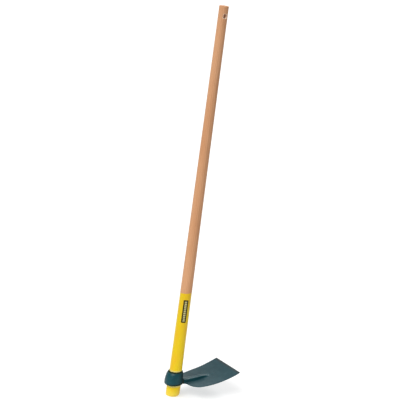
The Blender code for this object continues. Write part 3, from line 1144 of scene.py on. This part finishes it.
def bladeStations():
    # (reach, half width, how closely the row follows the eye's round wall)
    shoulder, fillet, sweep = blade["shoulderReach"], blade["neckFillet"], blade["shoulderSweep"]
    stations = [(reach, blade["neckHalf"] + blade["neckSpread"] * neckFade(reach), follow)
                for reach, follow in blade["rootRows"]]
    for step, follow in blade["filletRows"]:
        angle = 0.5 * math.pi * step / blade["filletSteps"]
        stations.append((shoulder - fillet + fillet * math.sin(angle),
                         blade["neckHalf"] + fillet * (1.0 - math.cos(angle)), follow))
    inner = blade["neckHalf"] + fillet
    arcLength = blade["shoulderLength"] / (1.0 - math.cos(sweep))
    arcWidth = (blade["shoulderHalf"] - inner) / math.sin(sweep)
    for step in range(blade["shoulderRows"]):
        angle = sweep * step / blade["shoulderRows"]
        reach = shoulder + arcLength * (1.0 - math.cos(angle))
        stations.append((reach, inner + arcWidth * math.sin(angle), 0.0))
    start = shoulder + blade["shoulderLength"]
    ground = blade["edgeReach"] - blade["grindLength"]
    reaches = [blend(start, ground, step / blade["sideRows"]) for step in range(blade["sideRows"] + 1)]
    reaches += [ground + blade["grindRow"], blade["edgeReach"] - blade["cornerBreak"]]
    edgeHalf = 0.5 * blade["edgeWidth"]
    for reach in reaches:
        share = (reach - start) / (blade["edgeReach"] - start)
        bow = blade["sideBow"] * math.sin(math.pi * share)
        stations.append((reach, blend(blade["shoulderHalf"], edgeHalf, share) + bow, 0.0))
    stations.append((blade["edgeReach"], edgeHalf - blade["cornerBreak"], 0.0))
    return [(reach, half + blade["sideSwell"] * sideSwell(reach), follow)
            for reach, half, follow in stations]


def bladeLoop(station, half, follow):
    # One closed section: up the left side, over the top skin to the right, back along the underside
    widest = blade["wallShare"] * bellyRadius

    def placeAt(across):
        inward, outward = min(abs(across), widest), min(half, widest)
        bulge = math.sqrt(bellyRadius ** 2 - inward ** 2) - math.sqrt(bellyRadius ** 2 - outward ** 2)
        reach = station + bulge * follow
        return reach, levelAt(reach, across)

    def levelAt(reach, across):
        return plateHeight(reach) + blade["sideLift"] * sideSwell(reach) * (across / half) ** 2

    widths = [ribHalf(station) * share for share in blade["columnShares"]]
    widths += [blend(widths[-1], half, share) for share in blade["outerShares"]]
    lower = levelAt(station, half) - plateThickness(station)
    loop = [(station, -half, lower)]
    for across in [-width for width in reversed(widths[1:])] + widths:
        reach, level = placeAt(across)
        loop.append((reach, across, level + ribRise(reach, across)))
    loop.append((station, half, lower))
    for step in range(1, 2 * eye["neckSteps"]):
        across = half * (1.0 - step / eye["neckSteps"])
        reach, level = placeAt(across)
        loop.append((reach, across, level - plateThickness(reach)))
    return loop


def ringPairs(ring):
    return list(zip(ring, ring[1:] + ring[:1]))


def creaseEdges(layer, form, pairs, crease):
    for pair in pairs:
        edge = form.edges.get(pair)
        if edge is not None:
            edge[layer] = crease


def makeHeadCage():
    form = bmesh.new()
    edgeLayer = form.verts.layers.float.new("edgeMask")
    groundLayer = form.verts.layers.float.new("groundMask")

    def addCorner(place, edgeMask, groundMask):
        corner = form.verts.new(place)
        corner[edgeLayer] = edgeMask
        corner[groundLayer] = groundMask
        return corner

    def bridge(low, high, leftOut=()):
        for step, (first, second) in enumerate(zip(ringPairs(low), ringPairs(high))):
            if step not in leftOut:
                form.faces.new((first[0], first[1], second[1], second[0]))

    section = eyeSection()
    rings = []
    for level, (radius, height, kind) in enumerate(section):
        places = [ringPlace(step, level, radius, height) for step in range(eye["steps"])]
        rings.append([addCorner(place, eye[kind][1], 0.0) for place in places])
    neck, top, bottom = eye["neckSteps"], eye["patchTop"], eye["patchBottom"]
    inNeck = set(range(neck)) | set(range(eye["steps"] - neck, eye["steps"]))
    for level, (low, high) in enumerate(ringPairs(rings)):
        bridge(low, high, inNeck if top <= level < bottom else ())
    # The opening's rim, from its lower left corner up, across and down, then back along the foot ring
    wall = [rings[level][-neck] for level in range(bottom, top, -1)]
    wall += [rings[top][step] for step in range(-neck, neck + 1)]
    wall += [rings[level][neck] for level in range(top + 1, bottom + 1)]
    wall += [rings[bottom][step] for step in range(neck - 1, -neck, -1)]
    loops = [wall]
    topCount = 2 * (len(blade["columnShares"]) - 1 + len(blade["outerShares"])) + 1
    outline = (0, 1, topCount, topCount + 1)
    for reach, half, follow in bladeStations():
        ground = 1.0 if reach > blade["edgeReach"] - blade["groundReach"] else 0.0
        loops.append([addCorner(place, blade["outlineMask"] if index in outline else 0.0, ground)
                      for index, place in enumerate(bladeLoop(reach, half, follow))])
    for near, far in zip(loops, loops[1:]):
        bridge(near, far)
    last = loops[-1]
    closeEdge(form, last[1:topCount + 1], [last[0]] + list(reversed(last[topCount + 1:])))
    bmesh.ops.recalc_face_normals(form, faces=list(form.faces))
    creases = form.edges.layers.float.new("crease_edge")
    for ring, (radius, height, kind) in zip(rings, section):
        creaseEdges(creases, form, ringPairs(ring), eye[kind][0])
    first = blade["creaseFrom"]
    for near, far in zip(loops[first:], loops[first + 1:]):
        creaseEdges(creases, form, [(near[index], far[index]) for index in outline], blade["outlineCrease"])
    creaseEdges(creases, form, ringPairs(last), blade["edgeCrease"])
    return pieceFrom(form, "forgedHead")


def closeEdge(form, upper, under):
    # The cutting edge: joins the top skin's row to the underside's, always taking the shorter next step
    first, second = 0, 0
    while first < len(upper) - 1 or second < len(under) - 1:
        firstShare = (first + 1) / (len(upper) - 1)
        secondShare = (second + 1) / (len(under) - 1)
        if second == len(under) - 1 or (first < len(upper) - 1 and firstShare <= secondShare):
            form.faces.new((upper[first], upper[first + 1], under[second]))
            first += 1
        else:
            form.faces.new((upper[first], under[second + 1], under[second]))
            second += 1


# Where the head's marks start and over what run they grow, in metres, radians or shares
headMarks = {
    "pastEye": 0.003,
    "pastRib": 0.012,
    "crestShoulder": (0.35, 0.4),
    "crestEnd": (0.86, 0.12),
    "flankEnd": (0.9, 0.3),
    "facesUp": (0.45, 0.4),
    "eyeShadeTurn": (0.9, 1.0),
    "rimDepth": 0.0050,
    "rimRun": 0.0018,
    "footDepth": 0.0080,
    "footRun": 0.0035,
}


def markHead(mesh, normals):
    # Where dust settles, where shade is painted on the eye's side towards the neck and near its rims, and
    # where the crest's shoulders get a painted highlight
    marks = {"facesUp": [], "eyeShade": [], "rimShaded": [], "paleAndLit": []}
    for corner, normal in zip(mesh.vertices, normals):
        x, y, z = corner.co
        level = z - x * eyeLean
        onEye = 1.0 - rise(math.hypot(x, y), bellyRadius, headMarks["pastEye"])
        share = abs(y) / ribHalf(x)
        onRib = (1.0 - onEye) * (1.0 - rise(x, blade["ribReach"], headMarks["pastRib"]))
        onCrest = share / crestShareAt(x)
        # The crest's shoulders get a painted highlight and a little less roughness
        marks["paleAndLit"].append(onRib * rise(onCrest, *headMarks["crestShoulder"])
                               * (1.0 - rise(onCrest, *headMarks["crestEnd"])))
        onRib *= 1.0 - rise(share, *headMarks["flankEnd"])
        marks["facesUp"].append(rise(normal.z, *headMarks["facesUp"]) * (1.0 - onRib))
        # Painted shade on the eye's side that faces the neck and blade
        marks["eyeShade"].append(onEye * (1.0 - rise(abs(math.atan2(y, x)), *headMarks["eyeShadeTurn"])))
        # Painted shade on the eye just under its upper rim and just above its foot
        underRim = rise(level, eyeTop - headMarks["rimDepth"], headMarks["rimRun"])
        atFoot = smoothRamp((eye["bottom"] + headMarks["footDepth"] - level) / headMarks["footRun"])
        marks["rimShaded"].append(onEye * max(underRim, atFoot))
    storeMarks(mesh, marks)


hammer = {
    "slowScale": 34.0,
    "slowDepth": 0.00016,
    "fineScale": 95.0,
    "fineShift": Vector((4.0, 1.0, 7.0)),
    "fineDepth": 0.00006,
    "boreSlack": 0.0003,
    "levels": 2,
    "sharpAngle": 38.0,
}


def makeForgedHead():
    head = makeHeadCage()
    coverWith(head, lacqueredSteel)
    rounding = head.modifiers.new("rounding", "SUBSURF")
    rounding.levels = hammer["levels"]
    rounding.render_levels = hammer["levels"]
    settle(head)
    # Hammer work: slow, shallow hollows that only take metal away, and none in the bore
    normals = [corner.normal.copy() for corner in head.data.vertices]
    for corner, normal in zip(head.data.vertices, normals):
        slow = noise.noise(corner.co * hammer["slowScale"])
        fine = noise.noise(corner.co * hammer["fineScale"] + hammer["fineShift"])
        if math.hypot(corner.co.x, corner.co.y) >= boreRadius(corner.co.z) + hammer["boreSlack"]:
            depth = hammer["slowDepth"] * (slow + 1.0) * 0.5 + hammer["fineDepth"] * (fine + 1.0) * 0.5
            corner.co -= normal * depth
    smoothShade(head, hammer["sharpAngle"])
    markHead(head.data, normals)
    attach(head, "head")
    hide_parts("forged_head")
    print("head forged:", len(head.data.polygons), "faces")


makeForgedHead()


# Stage, lights and camera

studio = {
    "floorSize": 40.0,
    "floorPaper": (0.45, 0.45, 0.45, 1.0),
    "floorGlow": 0.62,
    "floorBounce": 0.95,
    "bounceSpan": (0.9, 0.1),
    "bounceCentre": (0.22, -0.32, 0.0),
    "air": (0.33, 0.33, 0.33, 1.0),
    "backdrop": (1.0, 1.0, 1.0, 1.0),
    "backdropFacing": (0.572, 0.820, 0.0),
    "backdropSpan": (0.15, 0.55),
    "backdropTop": (0.75, 0.45),
    # Each lamp's strength, the direction it stands in and its softness
    "keyLamp": (2.5, (-0.65, -0.22, 0.727), math.radians(40)),
    "topLamp": (0.9, (0.53, 0.36, 0.77), math.radians(24)),
}
view = {
    "place": (-2.4927329, -3.5827214, 1.6818518),
    "turn": (76.873411, -7.393476, -33.180027),  # degrees about X, Y and Z
    "sensor": 36.0,
    "focalPixels": 1390.1,
    "pictureWidth": 400.0,
    "clip": (0.05, 200.0),
}


def makeFloor():
    form = bmesh.new()
    bmesh.ops.create_grid(form, x_segments=1, y_segments=1, size=studio["floorSize"])
    floor = pieceFrom(form, "paleFloor")
    material = bpy.data.materials.new("floorPaper")
    material.use_nodes = True
    tree = material.node_tree
    tree.nodes.clear()
    paper = outOf(tree, "ShaderNodeBsdfDiffuse", {"Color": studio["floorPaper"]})
    rays = addNode(tree, "ShaderNodeLightPath").outputs
    mirrored = compute(tree, "MAXIMUM", rays["Is Glossy Ray"], rays["Is Transmission Ray"])
    seen = compute(tree, "MAXIMUM", rays["Is Camera Ray"], mirrored)
    # Round the object the paper also throws a little light back up
    spot = addNode(tree, "ShaderNodeTexCoord").outputs["Object"]
    away = vectorMath(tree, "DISTANCE", spot, studio["bounceCentre"], output="Value")
    near = ramp(tree, away, *studio["bounceSpan"])
    thrown = times(tree, rays["Is Diffuse Ray"], near, studio["floorBounce"])
    strength = plus(tree, times(tree, seen, studio["floorGlow"]), thrown)
    glow = outOf(tree, "ShaderNodeEmission", {"Color": (1.0, 1.0, 1.0, 1.0), "Strength": strength})
    both = outOf(tree, "ShaderNodeAddShader", {0: paper, 1: glow})
    addNode(tree, "ShaderNodeOutputMaterial", {0: both})
    coverWith(floor, material)


def addSun(name):
    strength, source, softness = studio[name]
    light = bpy.data.lights.new(name, "SUN")
    light.energy = strength
    light.angle = softness
    newPiece(name, light).rotation_euler = Vector(source).to_track_quat("Z", "Y").to_euler()


def makeLights():
    world = bpy.data.worlds.new("studioAir")
    world.use_nodes = True
    tree = world.node_tree
    # The room is grey, with a white backdrop that stands behind the object up to a certain height
    looking = addNode(tree, "ShaderNodeTexCoord").outputs["Generated"]
    facing = vectorMath(tree, "DOT_PRODUCT", looking, studio["backdropFacing"], output="Value")
    behind = ramp(tree, facing, *studio["backdropSpan"])
    below = ramp(tree, partOf(tree, looking, "Z"), *studio["backdropTop"])
    shade = mixColour(tree, times(tree, behind, below), studio["air"], studio["backdrop"])
    feed(tree, tree.nodes["Background"], {"Color": shade})
    bpy.context.scene.world = world
    addSun("keyLamp")
    addSun("topLamp")


def makeCamera():
    data = bpy.data.cameras.new("viewCamera")
    data.lens = view["focalPixels"] / view["pictureWidth"] * view["sensor"]
    data.sensor_width = view["sensor"]
    data.clip_start, data.clip_end = view["clip"]
    camera = newPiece("viewCamera", data)
    turn = Euler([math.radians(degrees) for degrees in view["turn"]])
    camera.matrix_world = Matrix.Translation(view["place"]) @ turn.to_matrix().to_4x4()
    bpy.context.scene.camera = camera


makeFloor()
makeLights()
makeCamera()
bpy.context.scene.view_settings.view_transform = "Standard"
print("stage, lights and camera set")
